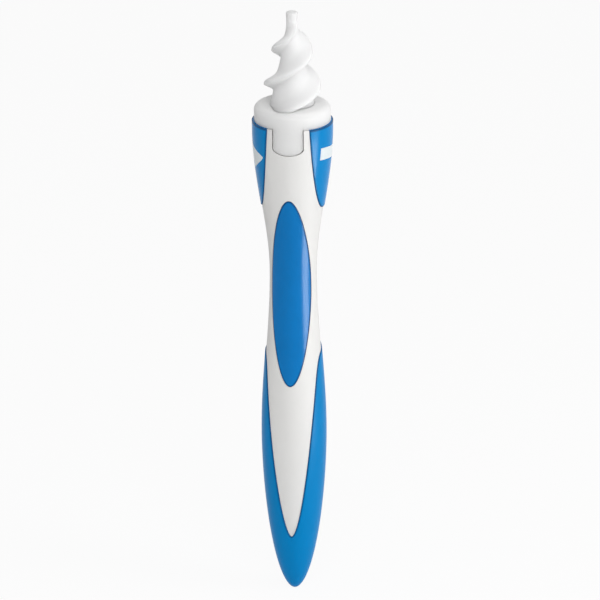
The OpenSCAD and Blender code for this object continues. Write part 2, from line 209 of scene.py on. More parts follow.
def mirrored(half):
    """A curve that starts in front on the right and is carried round to the left."""
    other = half[::-1].copy()
    other[:, 0] = 2 * np.pi - other[:, 0]
    return np.concatenate([half, other[1:]])


def back_arch(foot, arch, count=800):
    """The arched edge of a skin from the right side to the middle of the back."""
    r = float(envelope(foot))
    x = r * np.cos(np.linspace(0, np.pi / 2, count))
    z = foot + arch * (1 - (x / r) ** 2)
    return np.stack([np.pi - np.arcsin(np.clip(x / envelope(z), 0, 1)), z], axis=-1)


def collar_edge(top):
    """From the top in front, down and round the right lobe, the back and the left lobe."""
    up = np.linspace(1, 0, 3000) ** 5
    z = COLLAR_FOOT + (RIM - COLLAR_FOOT) * up
    x = PANEL_HALF + (envelope(COLLAR_FOOT) + SIDE_OVER - PANEL_HALF) * (1 - up ** PANEL_POWER)
    front = np.stack([np.arcsin(np.clip(x / envelope(z), 0, 1)), z], axis=-1)
    if top > RIM:
        front = np.concatenate([[[front[0, 0], top]], front])
    return mirrored(np.concatenate([front, back_arch(COLLAR_FOOT, COLLAR_ARCH)[1:]]))


def boot_edge():
    """From the tongue's point up its right side, round the back and down its left side."""
    up = np.linspace(0, 1, 3000) ** 2
    z = TONGUE_POINT + (BOOT_SIDE - TONGUE_POINT) * up
    x = (TONGUE_HALF * (1 - (1 - up) ** TONGUE_BULGE) ** TONGUE_POWER
         + (envelope(BOOT_SIDE) + SIDE_OVER - TONGUE_HALF) * up ** TONGUE_FLARE)
    front = np.stack([np.arcsin(np.clip(x / envelope(z), 0, 1)), z], axis=-1)
    return mirrored(np.concatenate([front, back_arch(BOOT_SIDE, BOOT_ARCH)[1:]]))


# ---- Mesh building ----------------------------------------------------------------------------

def finish_mesh(mesh, sharp=35):
    """Welds a mesh, turns its faces outwards and smooths it up to its sharp edges."""
    shape = bmesh.new()
    shape.from_mesh(mesh)
    bmesh.ops.remove_doubles(shape, verts=shape.verts, dist=0.0002 * MM)
    bmesh.ops.dissolve_degenerate(shape, edges=shape.edges, dist=0.0001 * MM)
    bmesh.ops.recalc_face_normals(shape, faces=shape.faces)
    shape.to_mesh(mesh)
    shape.free()
    mesh.shade_smooth()
    mesh.set_sharp_from_angle(angle=math.radians(sharp))
    mesh.update()


def piece(name, mesh):
    made = bpy.data.objects.new(name, mesh)
    bpy.context.scene.collection.objects.link(made)
    return made


def loft(name, rows, around=False, loop=False, caps=False):
    """A piece through rows of points. around closes each row, and loop joins the last row to the
    first. caps closes the two open ends of a loop."""
    grid = np.asarray(rows, float)
    count, width = grid.shape[:2]
    index = np.arange(count * width).reshape(count, width)
    low = index if loop else index[:-1]
    high = np.roll(index, -1, axis=0) if loop else index[1:]
    if around:
        quads = np.stack([low, np.roll(low, -1, 1), np.roll(high, -1, 1), high], axis=-1)
    else:
        quads = np.stack([low[:, :-1], low[:, 1:], high[:, 1:], high[:, :-1]], axis=-1)
    faces = quads.reshape(-1, 4).tolist()
    if caps:
        faces += [index[:, 0].tolist(), index[:, -1].tolist()]
    mesh = bpy.data.meshes.new(name)
    mesh.from_pydata(grid.reshape(-1, 3), [], faces)
    finish_mesh(mesh)
    return piece(name, mesh)


def turned(name, profile, segments):
    """A piece turned about the handle's axis from a closed profile of (radius, height) points."""
    radius, z = np.asarray(profile, float).T
    angle = np.linspace(0, 2 * np.pi, segments, endpoint=False)
    rows = [round_handle(angle, height, r) for r, height in zip(radius, z)]
    return loft(name, rows, around=True, loop=True)


def prism(name, outline, turn, near, far):
    """A straight bar of a flat outline, turned into place. It runs from near to far along local Z."""
    rows = [[(x, y, depth) for x, y in outline] for depth in (near, far)]
    made = loft(name, rows, around=True)
    shape = bmesh.new()
    shape.from_mesh(made.data)
    bmesh.ops.holes_fill(shape, edges=shape.edges)
    bmesh.ops.recalc_face_normals(shape, faces=shape.faces)
    bmesh.ops.transform(shape, matrix=turn, verts=shape.verts)
    shape.to_mesh(made.data)
    shape.free()
    return made


def carve(body, tool, operation="DIFFERENCE"):
    """Cuts, joins or intersects a piece with a tool, and takes the tool away.

    A tool or a piece with a hole leaves the piece as it was, which stops the script."""
    cutter = body.modifiers.new("carve", "BOOLEAN")
    cutter.operation = operation
    cutter.solver = "MANIFOLD"
    cutter.object = tool
    bpy.context.view_layer.update()
    graph = bpy.context.evaluated_depsgraph_get()
    mesh = bpy.data.meshes.new_from_object(body.evaluated_get(graph))
    if len(mesh.vertices) == len(body.data.vertices):
        raise RuntimeError(f"{tool.name} does not cut {body.name}: is it closed?")
    body.modifiers.clear()
    body.data = mesh
    bpy.data.objects.remove(tool)
    return body


def mark_edge(made, line):
    """Stores each point's distance from an edge line, in millimetres, for the finish to read: it
    paints shade near the line.
    """
    points = np.empty(len(made.data.vertices) * 3)
    made.data.vertices.foreach_get("co", points)
    points = points.reshape(-1, 3)
    nearest = np.full(len(points), np.inf)
    for part in np.array_split(line, max(1, len(line) // 40)):
        gaps = np.linalg.norm(points[:, None] - part[None], axis=2).min(axis=1)
        nearest = np.minimum(nearest, gaps)
    field = made.data.attributes.new("edge_distance", "FLOAT", "POINT")
    field.data.foreach_set("value", (nearest / MM).astype(np.float32))


# ---- Coloured skins ---------------------------------------------------------------------------

def skin_rows(edge, far, spread, closed):
    """(angle, height) rows from a skin's edge to its far side. spread places the rows between."""
    rows = [offset(edge, distance, closed) for distance in EDGE_STEPS]
    last = rows[-1]
    return rows + [last + (far - last) * share for share in spread]


def collar_rows(top, grow=0.0):
    edge = evenly(collar_edge(top), 420)
    if grow:
        edge = offset(edge, -grow, closed=False)
    edge[[0, -1], 1] = top
    inner = offset(edge, EDGE_STEPS[-1], closed=False)
    share = np.linspace(0, 1, len(edge))
    far = np.stack([inner[0, 0] + (inner[-1, 0] - inner[0, 0]) * share,
                    np.full(len(edge), top)], axis=-1)
    rows = skin_rows(edge, far, np.linspace(0, 1, 36)[1:], closed=False)
    for row in rows:
        row[:, 1] = np.minimum(row[:, 1], top)
        row[[0, -1], 1] = top
    return rows


def head_collar():
    """The overmoulded blue collar, with a rounded edge along the panel and the back. It also gives
    the line of its edge and rim, along which its finish paints shade.
    """
    rows = collar_rows(RIM)
    line = round_handle(rows[0][:, 0], rows[0][:, 1], envelope(rows[0][:, 1]) - PROUD)
    # The rim joins the line, so that the painted shade also runs round the collar's top edge
    rim = round_handle(np.linspace(0, 2 * np.pi, 480), RIM, HEAD_R)
    line = np.concatenate([line, rim])
    outer = []
    for depth, row in enumerate(rows):
        distance = EDGE_STEPS[min(depth, len(EDGE_STEPS) - 1)]
        radius = envelope(row[:, 1]) - roll_off(distance, PROUD)
        outer.append(round_handle(row[:, 0], row[:, 1], radius))
    inner = [round_handle(row[:, 0], row[:, 1], envelope(row[:, 1]) - SKIN_T) for row in rows]
    made = loft("head_collar_skin", inner[::-1] + outer, loop=True, caps=True)
    return made, line


def boot():
    """The overmoulded blue boot, closed round the tail. It also gives the line of its edge, along
    which its finish paints shade.
    """
    edge = evenly(boot_edge(), 481)[:-1]
    rows = [offset(edge, -distance, closed=True) for distance in EDGE_STEPS]
    last = rows[-1]
    line = round_handle(edge[:, 0], edge[:, 1], envelope(edge[:, 1]) - PROUD)
    outer = []
    for distance, row in zip(EDGE_STEPS, rows):
        radius = envelope(row[:, 1]) - roll_off(distance, PROUD)
        outer.append(round_handle(row[:, 0], row[:, 1], radius))
    shares = np.linspace(1, 0, 90)[1:]
    below = [np.stack([last[:, 0], TAIL + (last[:, 1] - TAIL) * share ** 2], axis=-1)
             for share in shares]
    outer += [round_handle(row[:, 0], row[:, 1], envelope(row[:, 1])) for row in below]
    inner = [round_handle(row[:, 0], row[:, 1], envelope(row[:, 1]) - SKIN_T) for row in rows]
    for share in shares:
        z = SHELL_FOOT + (last[:, 1] - SHELL_FOOT) * share ** 2
        inner.append(round_handle(last[:, 0], z, envelope(z) - SKIN_T))
    inner.append(round_handle(last[:, 0], SHELL_FOOT, 0))
    made = loft("boot_skin", inner[::-1] + outer, around=True)
    return made, line


def skin_pockets():
    """Tools that cut the collar's and the boot's pockets into the shells."""
    over = 2 * MM
    above = RIM + over
    rows = collar_rows(above, SEAT_GAP)
    deep = [round_handle(row[:, 0], row[:, 1], envelope(row[:, 1]) - SKIN_T - SEAT_GAP)
            for row in rows]
    wide = [round_handle(row[:, 0], row[:, 1], envelope(row[:, 1]) + over) for row in rows]
    collar = loft("collar_pocket", deep[::-1] + wide, loop=True, caps=True)

    edge = offset(evenly(boot_edge(), 481)[:-1], SEAT_GAP, closed=True)
    foot = SHELL_FOOT - 1 * MM
    rows = [np.stack([edge[:, 0], foot + (edge[:, 1] - foot) * share ** 2], axis=-1)
            for share in np.linspace(1, 0, 60)]
    deep = [round_handle(row[:, 0], row[:, 1], envelope(row[:, 1]) - SKIN_T - SEAT_GAP)
            for row in rows]
    wide = [round_handle(row[:, 0], row[:, 1], envelope(row[:, 1]) + over) for row in rows]
    inside, outside = (round_handle(edge[:, 0], z, 0) for z in (foot, TAIL - over))
    boot_pocket = loft("boot_pocket", [inside] + deep[::-1] + wide + [outside], around=True)
    return collar, boot_pocket


# ---- Shells, pad and arrow --------------------------------------------------------------------

def oval(inset):
    """The thumb pad's oval, set in by a distance, as arrays of x and height."""
    turn = np.linspace(0, 2 * np.pi, 260, endpoint=False)
    return ((PAD_HALF_W - inset) * np.cos(turn),
            PAD_MIDDLE + (PAD_HALF_LEN - inset) * np.sin(turn))


def oval_row(inset, radial):
    """The same oval laid on the handle, at a distance outside or inside the white surface.

    Where the waist is no wider than the pad, the row stays clear of the line between the shells.
    """
    x, z = oval(inset)
    depth = np.sqrt(np.maximum((envelope(z) - PROUD + radial) ** 2 - x ** 2, 0))
    return np.stack([x, -np.maximum(depth, PAD_CLEAR + inset), z], axis=-1)


def pad_solid(name, grow, top, bottom, rounding):
    steps = np.concatenate([EDGE_STEPS, np.linspace(1.5 * MM, PAD_HALF_W + grow, 9)])
    front = [oval_row(step - grow, top - roll_off(step, rounding)) for step in steps]
    back = [oval_row(step - grow, bottom) for step in steps]
    return loft(name, back[::-1] + front, around=True)


def tab_outline(grow):
    """Half outline of the key tab from its right side to the middle of its foot, as (x, height)."""
    turn = np.linspace(0, np.pi / 2, 40)
    return np.stack([(TAB_HALF + grow) * np.cos(turn),
                     TAB_FOOT + TAB_BOW - (TAB_BOW + grow) * np.sin(turn)], axis=-1)


def shells():
    """Both white half shells: one turned body with its pockets, split in two."""
    over = 1 * MM
    zs = np.concatenate([np.linspace(SHELL_FOOT, GRIP_TOP, 60),
                         np.linspace(GRIP_TOP, HEAD_FOOT, 110)[1:], [RIM]])
    outside = [(float(envelope(z)) - PROUD, z) for z in zs]
    mouth = SOCKET_R + SEAT_GAP
    chamber_foot = SOCKET_BOX[0].z - SEAT_GAP
    profile = ([(0, SHELL_FOOT)] + outside + [(mouth, RIM), (mouth, RIM - TOP_T),
               (CHAMBER_R, RIM - TOP_T), (CHAMBER_R, chamber_foot), (0, chamber_foot)])
    body = turned("shell_body", profile, 320)
    hollow_zs = np.linspace(HOLLOW_FOOT, chamber_foot - SHELF_T, 60)
    hollow = turned("hollow", [(0, hollow_zs[0])]
                    + [(float(envelope(z)) - SKIN_T - WALL, z) for z in hollow_zs]
                    + [(0, hollow_zs[-1])], 96)
    carve(body, hollow)
    for pocket in skin_pockets():
        carve(body, pocket)

    halves = []
    for name, side in (("front_shell_moulding", -1), ("rear_shell_moulding", 1)):
        half = piece(name, body.data.copy())
        reach = 2 * HEAD_R
        square = [(-reach, 0), (reach, 0), (reach, side * reach), (-reach, side * reach)]
        block = prism("half", square, Matrix.Identity(4), TAIL - over, RIM + over)
        carve(half, block, "INTERSECT")
        halves.append(half)
    bpy.data.objects.remove(body)

    front, rear = halves
    carve(front, pad_solid("pad_pocket", PAD_GAP, 3 * MM, -PAD_T - SEAT_GAP, 0.001 * MM))
    right = tab_outline(TAB_GAP)
    sides = np.concatenate([[[right[0, 0], RIM + over]], right])
    left = sides[::-1][1:] * (-1, 1)
    upright = Matrix.Rotation(math.pi / 2, 4, "X")
    carve(front, prism("notch", np.concatenate([sides, left]), upright, NOTCH_BACK, 2 * HEAD_R))
    for half in halves:
        finish_mesh(half.data, 30)
    return front, rear


def arrow_tool(grow):
    """The arrow's band, cut square from the side: a bar on the right and a head on the left."""
    reach = 2 * HEAD_R
    across = Matrix(((0, 0, 1, 0), (1, 0, 0, 0), (0, 1, 0, 0), (0, 0, 0, 1)))
    level = Matrix.Translation((0, 0, ARROW_Z)) @ across
    sloping = (Matrix.Translation((0, 0, ARROW_Z))
               @ Matrix.Rotation(math.radians(-ARROW_LEAN), 4, "Y")
               @ Matrix.Rotation(math.radians(-ARROW_TILT), 4, "X") @ across)
    radius = float(envelope(ARROW_Z))
    tail = -radius * math.cos(math.radians(ARROW_FROM)) - grow
    apex = -radius * math.cos(math.radians(ARROW_TO)) - 2 * grow
    neck = apex + ARROW_LEN + 3 * grow
    bar, head = ARROW_BAR / 2 + grow, ARROW_HEAD / 2 + 2 * grow

    band = prism("arrow_bar", [(-reach, -bar), (reach, -bar), (reach, bar), (-reach, bar)],
                 sloping, 0, reach)
    beyond = 2 * reach
    behind = prism("arrow_end", [(tail, -reach), (beyond, -reach), (beyond, reach), (tail, reach)],
                   level, -reach, reach)
    carve(band, behind, "INTERSECT")
    along = np.linspace(0, 1, 40) ** 2
    side = np.stack([apex + (neck - apex) * along, head * along ** ARROW_POWER], axis=-1)
    shaft = [(neck, -bar), (reach, -bar), (reach, bar), (neck, bar)]
    point = np.concatenate([side * (1, -1), shaft, side[:0:-1]])
    return carve(band, prism("arrow_head", point, sloping, -reach, 0.5 * MM), "UNION")


def arrow_and_recess(collar):
    """The white arrow, flush in a recess of the collar."""
    zs = np.linspace(RIM - 20 * MM, RIM - 0.05 * MM, 60)
    band = [(float(envelope(z)) - ARROW_T, z) for z in zs]
    outer = [(float(envelope(z)), z) for z in zs[::-1]]
    arrow = turned("direction_arrow_inlay", band + outer, 320)
    carve(arrow, arrow_tool(0), "INTERSECT")
    finish_mesh(arrow.data, 30)
    deep = [(float(envelope(z)) - ARROW_T - SEAT_GAP, z) for z in zs]
    wide = [(float(envelope(z)) + 1 * MM, z) for z in zs[::-1]]
    recess = turned("recess", deep + wide, 320)
    carve(recess, arrow_tool(SEAT_GAP), "INTERSECT")
    carve(collar, recess)
    finish_mesh(collar.data, 30)
    return arrow


# ---- Socket and tip base ----------------------------------------------------------------------

def arc(centre, radius, start, end, count=8):
    """Points on an arc of a profile, as (radius, height), between two angles in degrees."""
    turns = np.radians(np.linspace(start, end, count))
    return [(centre[0] + radius * math.cos(t), centre[1] + radius * math.sin(t)) for t in turns]


def socket_tube():
    """The socket's tube with its foot, its snap groove and a softened mouth."""
    foot = SOCKET_BOX[0].z
    soft, groove = 0.3 * MM, 0.35 * MM
    bead = PLUG_FOOT + BEAD_UP
    profile = ([(BORE_R, foot), (SOCKET_FOOT_R - soft, foot), (SOCKET_FOOT_R, foot + soft),
                (SOCKET_FOOT_R, foot + SOCKET_FOOT_T), (SOCKET_R, foot + SOCKET_FOOT_T)]
               + [(SOCKET_R, RIM)] + arc((BORE_R + soft, RIM - soft), soft, 90, 180)
               + [(BORE_R, bead + BEAD_W)] + arc((BORE_R, bead), groove, 90, -90)
               + [(BORE_R, bead - BEAD_W)])
    return turned("socket_tube", profile, 160)


def tip_base():
    """Flange, key tab, plug and stem in one moulding. Each column runs down one line of the
    flange's side, and the columns across the tab run on down to its rounded foot."""
    right = tab_outline(0)
    straight = np.linspace(FLANGE_FOOT, right[0, 1], 12)[:-1]
    side = np.concatenate([np.stack([np.full(11, TAB_HALF), straight], axis=-1), right])
    foot = np.concatenate([side * (-1, 1), side[::-1][1:]])
    tab_angle = np.arcsin(foot[:, 0] / FLANGE_R)
    edge = tab_angle.max()
    rest = np.linspace(edge, 2 * np.pi - edge, 260)[1:-1]
    angle = np.concatenate([tab_angle, rest])
    low = np.concatenate([foot[:, 1], np.full(len(rest), FLANGE_FOOT)])
    on_tab = np.arange(len(angle)) < len(tab_angle)

    line = np.stack([foot[:, 0], -np.sqrt(FLANGE_R ** 2 - foot[:, 0] ** 2), foot[:, 1]], axis=-1)
    rounding, stem_round, lead = 0.22 * MM, 0.3 * MM, 0.6 * MM

    def ring(radius, z):
        return round_handle(angle, np.broadcast_to(z, angle.shape), radius)

    rows = [ring(0, STEM_TOP)]
    rows += [ring(r, z) for r, z in arc((STEM_R - stem_round, STEM_TOP - stem_round),
                                        stem_round, 90, 0)]
    rows += [ring(STEM_R, FLANGE_TOP)]
    rows += [ring(r, FLANGE_TOP) for r in np.linspace(STEM_R, FLANGE_R - FLANGE_ROUND, 14)[1:-1]]
    rows += [ring(r, z) for r, z in arc((FLANGE_R - FLANGE_ROUND, FLANGE_TOP - FLANGE_ROUND),
                                        FLANGE_ROUND, 90, 0, 12)]
    straight_top = FLANGE_TOP - FLANGE_ROUND
    near_foot = 1 - np.array([6, 4, 3, 2, 1, 0.5, 0]) / 70
    shares = np.concatenate([np.linspace(0, 0.9, 22)[1:], near_foot])
    under = min(TAB_GAP, rounding)
    for share in shares:
        z = straight_top + (low - straight_top) * share
        points = ring(FLANGE_R, z)
        gap = np.linalg.norm(points[:, None] - line[None], axis=2).min(axis=1)
        drop = np.where(on_tab | (gap < rounding), roll_off(gap, rounding), 0)
        drop = np.where(z > FLANGE_FOOT + under, 0, drop)
        rows.append(ring(FLANGE_R - drop, z))
    back = np.where(on_tab, TAB_BACK / np.cos(angle), FLANGE_R - 1.5 * MM)
    rows += [ring(back, low), ring(back, FLANGE_FOOT), ring(PLUG_R, FLANGE_FOOT)]
    bead = PLUG_FOOT + BEAD_UP
    rows += [ring(PLUG_R, bead + BEAD_W / 2)]
    rows += [ring(PLUG_R + BEAD_R * math.cos(t), bead + BEAD_W / 2 * math.sin(t))
             for t in np.linspace(math.pi / 2, -math.pi / 2, 9)]
    rows += [ring(PLUG_R, PLUG_FOOT + lead), ring(PLUG_R - lead / 2, PLUG_FOOT), ring(0, PLUG_FOOT)]
    made = loft("tip_base_moulding", rows, around=True)
    reach, half = PLUG_R * 1.2, SLIT_W / 2
    slot = [(-reach, -half), (reach, -half), (reach, half), (-reach, half)]
    carve(made, prism("slit", slot, Matrix.Identity(4), PLUG_FOOT - 1 * MM, PLUG_FOOT + SLIT_LEN))
    finish_mesh(made.data, 32)
    return made


# ---- Node trees, written as sums --------------------------------------------------------------

class Wire:
    """One output of a node tree. Arithmetic on it adds Math nodes to the tree."""

    def __init__(self, bench, socket):
        self.bench, self.socket = bench, socket

    def math(self, operation, *others):
        return self.bench.node("ShaderNodeMath", {"operation": operation},
                               dict(enumerate((self, *others))))

    def __add__(self, other):
        return self.math("ADD", other)

    def __sub__(self, other):
        return self.math("SUBTRACT", other)

    def __mul__(self, other):
        return self.math("MULTIPLY", other)

    def __truediv__(self, other):
        return self.math("DIVIDE", other)

    def __pow__(self, other):
        return self.math("POWER", other)

    def __rsub__(self, other):
        return self * -1 + other

    def __rtruediv__(self, other):
        return self ** -1 * other

    __radd__ = __add__
    __rmul__ = __mul__

    def at_least(self, other):
        return self.math("MAXIMUM", other)

    def at_most(self, other):
        return self.math("MINIMUM", other)

    def above(self, other):
        return self.math("GREATER_THAN", other)

    def cosine(self):
        return self.math("COSINE")

    def sine(self):
        return self.math("SINE")


class Bench:
    """Adds nodes to a tree, with their settings first and then their values and links."""

    def __init__(self, tree):
        self.tree = tree
        tree.nodes.clear()

    def node(self, kind, settings=None, inputs=None, out=0):
        made = self.tree.nodes.new(kind)
        for name, value in (settings or {}).items():
            setattr(made, name, value)
        for name, value in (inputs or {}).items():
            if isinstance(value, Wire):
                self.tree.links.new(value.socket, made.inputs[name])
            else:
                made.inputs[name].default_value = value
        return Wire(self, made.outputs[out]) if len(made.outputs) else made

    def other(self, wire, out):
        """Another output of the node that a wire comes from."""
        return Wire(self, wire.socket.node.outputs[out])


# ---- Spiral -----------------------------------------------------------------------------------

SPIRAL_SIZES = {
    "Length": 25.5 * MM, "Finger length": 3.8 * MM, "Finger radius": 1.5 * MM,
    "Core radius": 5.85 * MM, "Core power": 1.2, "Fin radius": 8.8 * MM, "Fin taper": 0.22,
    "Pitch": 19.2 * MM, "Start angle": math.radians(-100), "Fin thickness": 2.4 * MM,
    "Fin lean": 0.3, "Fade from": 0.84, "Fade over": 0.25, "Flare": 0.08, "End round": 0.45 * MM,
    "Flutes": 0.03 * MM, "Bore radius": 1.65 * MM, "Bore depth": 8.05 * MM, "Foot": 0.0,
}
SPIRAL_ROWS, SPIRAL_COLUMNS = 340, 240


def spiral_tree(finish):
    """Two fins that wind up a tapering core as a right-handed screw, set out on a flat grid.

    The grid's X counts the rows and its Y runs once round. The first three rows make the blind
    bore for the stem, and the others climb the outside to the end of the finger."""
    tree = bpy.data.node_groups.new("Spiral fins", "GeometryNodeTree")
    for name, value in SPIRAL_SIZES.items():
        tree.interface.new_socket(name, in_out="INPUT",
                                  socket_type="NodeSocketFloat").default_value = value
    tree.interface.new_socket("Mesh", in_out="OUTPUT", socket_type="NodeSocketGeometry")
    bench = Bench(tree)
    given = bench.node("NodeGroupInput")
    size = {name: bench.other(given, name) for name in SPIRAL_SIZES}

    bore_rows = 3
    grid = bench.node("GeometryNodeMeshGrid", None, {
        "Size X": float(SPIRAL_ROWS - 1), "Size Y": math.tau,
        "Vertices X": SPIRAL_ROWS, "Vertices Y": SPIRAL_COLUMNS})
    place = bench.node("GeometryNodeInputPosition")
    across = bench.node("ShaderNodeSeparateXYZ", None, {"Vector": place})
    row = across + (SPIRAL_ROWS - 1) / 2
    angle = bench.other(across, "Y") + math.pi

    climb = ((row - bore_rows) / (SPIRAL_ROWS - 1 - bore_rows)).at_least(0)
    height = size["Length"] * (1 - (1 - climb) ** 2)
    cone = size["Length"] - size["Finger length"]
    left = (1 - height / cone).at_least(0.0001)
    past = ((height - cone) / size["Finger length"]).at_least(0)
    core = (size["Finger radius"] + (size["Core radius"] - size["Finger radius"])
            * left ** size["Core power"]
            + size["Finger radius"] * size["Flare"] * past * past
            + size["Flutes"] * past.at_most(1) * (angle * 9).cosine())
    faded = ((height / cone - size["Fade from"]) / size["Fade over"]).at_least(0).at_most(1)
    stays = (faded * math.pi).cosine() * 0.5 + 0.5
    fin = (size["Fin radius"] - size["Fin taper"] * height - core).at_least(0) * stays
    phase = angle - size["Start angle"] - height / size["Pitch"] * math.tau
    half_width = ((size["Fin thickness"] / size["Pitch"] * math.pi).sine()
                  * (1 - size["Fin lean"] * (phase * 2).sine()))
    out = phase.sine() / half_width
    crest = 1 / (1 + out * out * out * out)
    end = ((height - size["Length"]) / size["End round"] + 1).at_least(0).at_most(1)
    outside = (core + fin * crest) * (1 - end ** 3).at_least(0) ** 0.5

    in_bore = 1 - row.above(bore_rows - 0.5)
    radius = outside * (1 - in_bore) + size["Bore radius"] * in_bore * row.above(0.5)
    lift = height * (1 - in_bore) + size["Bore depth"] * (1 - row.above(1.5)) + size["Foot"]
    point = bench.node("ShaderNodeCombineXYZ", None, {
        "X": radius * angle.cosine(), "Y": radius * angle.sine(), "Z": lift})
    placed = bench.node("GeometryNodeSetPosition", None, {"Geometry": grid, "Position": point})
    welded = bench.node("GeometryNodeMergeByDistance", None, {
        "Geometry": placed, "Distance": 0.0005 * MM})
    smooth = bench.node("GeometryNodeSetShadeSmooth", None, {"Geometry": welded})
    real = bench.node("GeometryNodeRealizeInstances", None, {"Geometry": smooth})
    dressed = bench.node("GeometryNodeSetMaterial", None, {"Geometry": real, "Material": finish})
    bench.node("NodeGroupOutput", None, {"Mesh": dressed})
    return tree


def spiral(finish):
    maker = piece("spiral_maker", bpy.data.meshes.new("spiral_maker"))
    tree = spiral_tree(finish)
    grow = maker.modifiers.new("Spiral fins", "NODES")
    grow.node_group = tree
    sizes = dict(SPIRAL_SIZES)
    sizes["Foot"] = SPIRAL_BOX[0].z
    sizes["Length"] = SPIRAL_BOX[1].z - SPIRAL_BOX[0].z
    for item in tree.interface.items_tree:
        if item.in_out == "INPUT":
            grow[item.identifier] = sizes[item.name]
    bpy.context.view_layer.update()
    graph = bpy.context.evaluated_depsgraph_get()
    mesh = bpy.data.meshes.new_from_object(maker.evaluated_get(graph))
    bpy.data.objects.remove(maker)
    finish_mesh(mesh, 50)
    mesh.name = "spiral_fins"
    return piece("spiral_fins", mesh)


# ---- Finishes ---------------------------------------------------------------------------------

def grey(value):
    return (value, value, value, 1)


def moulded(name, colour, roughness, *, shade, specular=0.5, grain, grain_size=0.25 * MM,
            streaks=0.04, painted_edge_shade=None, soft=0.0):
    """A moulded plastic: faint clouds in its colour, a fine eroded grain, and uneven polish.

    shade is how far the clouds darken it, streaks how much its roughness wanders, and the
    edge colour is painted shade: a darker tone laid along its edges, where the rounded edge and
    the seam fall into shade. soft is how much of the light passes into it."""
    finish = bpy.data.materials.new(name)
    finish.use_nodes = True
    bench = Bench(finish.node_tree)
    at = bench.node("ShaderNodeTexCoord", out="Object")

    def cloud(size, detail=3.0, distortion=0.0):
        return bench.node("ShaderNodeTexNoise", None, {
            "Vector": at, "Scale": 1 / size, "Detail": detail, "Distortion": distortion})

    broad = cloud(14 * MM, 2.0, 0.6)
    small = cloud(1.6 * MM)
    mottle = (broad * 0.65 + small * 0.35 - 0.5) * 2
    darker = tuple(c * (1 - shade) for c in colour)
    lighter = tuple(min(1, c * (1 + shade)) for c in colour)
    tone = bench.node("ShaderNodeMix", {"data_type": "RGBA"}, {
        0: mottle * 0.5 + 0.5, 6: (*darker, 1), 7: (*lighter, 1)}, out=2)
    # Painted shade: the colour darkens near the edges marked in edge_distance, standing in for the
    # shade along the rounded edges and seams
    if painted_edge_shade:
        gap = bench.node("ShaderNodeAttribute", {"attribute_name": "edge_distance"}, out="Fac")
        wobble = small * 0.12
        near = (1 - (gap + wobble - 0.2) / 0.5).at_least(0).at_most(1)
        tone = bench.node("ShaderNodeMix", {"data_type": "RGBA"}, {
            0: near * 0.88, 6: tone, 7: (*painted_edge_shade, 1)}, out=2)
    handled = cloud(7 * MM, 4.0, 1.2)
    polish = roughness + (handled - 0.5) * streaks * 2 + (small - 0.5) * streaks
    fine = cloud(grain_size, 2.0)
    waves = cloud(9 * MM, 1.0)
    bump = bench.node("ShaderNodeBump", None, {
        "Strength": 0.6, "Distance": grain, "Height": fine + waves * 1.5})
    surface = bench.node("ShaderNodeBsdfPrincipled", None, {
        "Base Color": tone, "Roughness": polish.at_least(0.05), "Specular IOR Level": specular,
        "Subsurface Weight": soft, "Subsurface Radius": (1.0, 1.0, 1.0),
        "Subsurface Scale": 3 * MM, "Normal": bump})
    bench.node("ShaderNodeOutputMaterial", None, {"Surface": surface})
    return finish


SHELL_WHITE = moulded("shell_white", (0.86, 0.855, 0.84), 0.5, shade=0.025, specular=0.03,
                      grain=0.000012)
# The last colour of each blue is painted shade, laid along its edges and the collar's rim
COLLAR_BLUE = moulded("collar_blue", (0.001, 0.245, 0.61), 0.2, shade=0.05, specular=0.07,
                      grain=0.000004, painted_edge_shade=(0.001, 0.045, 0.15))
GRIP_BLUE = moulded("grip_blue", (0.001, 0.245, 0.6), 0.32, shade=0.06, specular=0.05,
                    grain=0.00001, painted_edge_shade=(0.001, 0.05, 0.16))
PAD_BLUE = moulded("pad_blue", (0.003, 0.195, 0.55), 0.22, shade=0.12, specular=0.09,
                   grain=0.000005, painted_edge_shade=(0.001, 0.035, 0.12))
ARROW_WHITE = moulded("arrow_white", (0.80, 0.86, 0.88), 0.4, shade=0.03, specular=0.08,
                      grain=0.000006)
SOCKET_WHITE = moulded("socket_white", (0.82, 0.82, 0.81), 0.4, shade=0.03, grain=0.000006)
TIP_WHITE = moulded("tip_white", (0.87, 0.87, 0.865), 0.45, shade=0.02, specular=0.03,
                    grain=0.000006, soft=0.7)
SPIRAL_SOFT = moulded("spiral_soft", (0.87, 0.87, 0.87), 0.55, shade=0.02, specular=0.02,
                      grain=0.00001, grain_size=0.4 * MM, soft=0.8)


# ---- Putting the object together --------------------------------------------------------------

def dress(made, finish, body, node):
    """Gives a piece its finish and its body, and hides the solid that it stands for."""
    made.data.materials.clear()
    made.data.materials.append(finish)
    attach(made, body)
    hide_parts(node)


front_shell, rear_shell = shells()
collar, collar_shade_line = head_collar()
arrow = arrow_and_recess(collar)
mark_edge(collar, collar_shade_line)
grip, grip_shade_line = boot()
mark_edge(grip, grip_shade_line)
pad = pad_solid("thumb_pad_oval", 0, PAD_RISE, -PAD_T, PAD_ROUND)
mark_edge(pad, oval_row(0, 0))

dress(front_shell, SHELL_WHITE, "handle", "front_shell")
dress(rear_shell, SHELL_WHITE, "handle", "rear_shell")
dress(collar, COLLAR_BLUE, "handle", "head_collar")
dress(grip, GRIP_BLUE, "handle", "lower_grip")
dress(pad, PAD_BLUE, "handle", "thumb_pad")
dress(arrow, ARROW_WHITE, "handle", "direction_arrow")
dress(socket_tube(), SOCKET_WHITE, "handle", "tip_socket")
dress(tip_base(), TIP_WHITE, "tip", "tip_base")
dress(spiral(SPIRAL_SOFT), SPIRAL_SOFT, "tip", "spiral_tip")


# ---- Studio -----------------------------------------------------------------------------------

